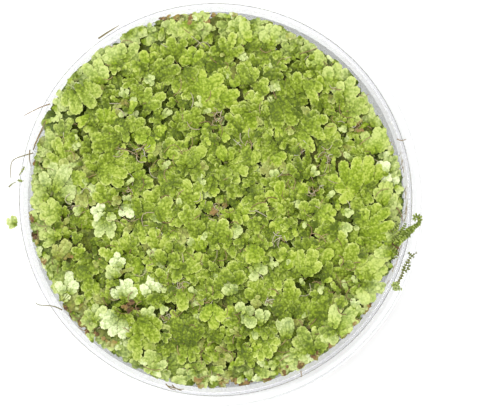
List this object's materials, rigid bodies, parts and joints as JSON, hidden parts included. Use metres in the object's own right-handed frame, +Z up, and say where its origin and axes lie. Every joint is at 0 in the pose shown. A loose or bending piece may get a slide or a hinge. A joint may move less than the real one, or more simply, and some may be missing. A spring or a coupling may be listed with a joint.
{
  "type": "bowl of floating water fern (azolla)",
  "caption": "Clear round plastic bowl with a turned-over lip, holding water and a closed carpet of small floating water fern plants.",
  "frame": {"origin": "middle of the bowl's flat foot, on the surface that it stands on", "axes": "+Z up through the bowl's middle; seen from above with +Y away, the branch that hangs over the lip is at +X and the loose frond at -X"},
  "size_m": [0.1199, 0.118, 0.0475],
  "materials": {
    "clear_plastic": "gloss",
    "water": "gloss",
    "fern": "matte",
    "old_fern": "matte"
  },
  "bodies": {
    "root": {"bowl": "clear_plastic", "water": "water", "plant_01": "fern", "plant_02": "fern", "plant_03": "fern", "plant_04": "fern", "plant_05": "fern", "plant_06": "fern", "plant_07": "fern", "plant_08": "fern", "plant_09": "fern", "plant_10": "fern", "plant_11": "fern", "plant_12": "fern", "plant_13": "fern", "plant_14": "fern", "plant_15": "fern", "plant_16": "fern", "plant_17": "fern", "plant_18": "fern", "plant_19": "fern", "plant_20": "fern", "plant_21": "fern", "plant_22": "fern", "plant_23": "fern", "plant_24": "fern", "plant_25": "fern", "plant_26": "fern", "plant_27": "fern", "plant_28": "fern", "plant_29": "fern", "plant_30": "fern", "plant_31": "fern", "plant_32": "fern", "plant_33": "fern", "plant_34": "fern", "plant_35": "fern", "plant_36": "fern", "plant_37": "fern", "plant_38": "fern", "plant_39": "fern", "plant_40": "fern", "branch_over_lip": "fern", "twig_on_lip": "old_fern", "loose_frond_on_lip": "old_fern"}
  },
  "joints": []
}
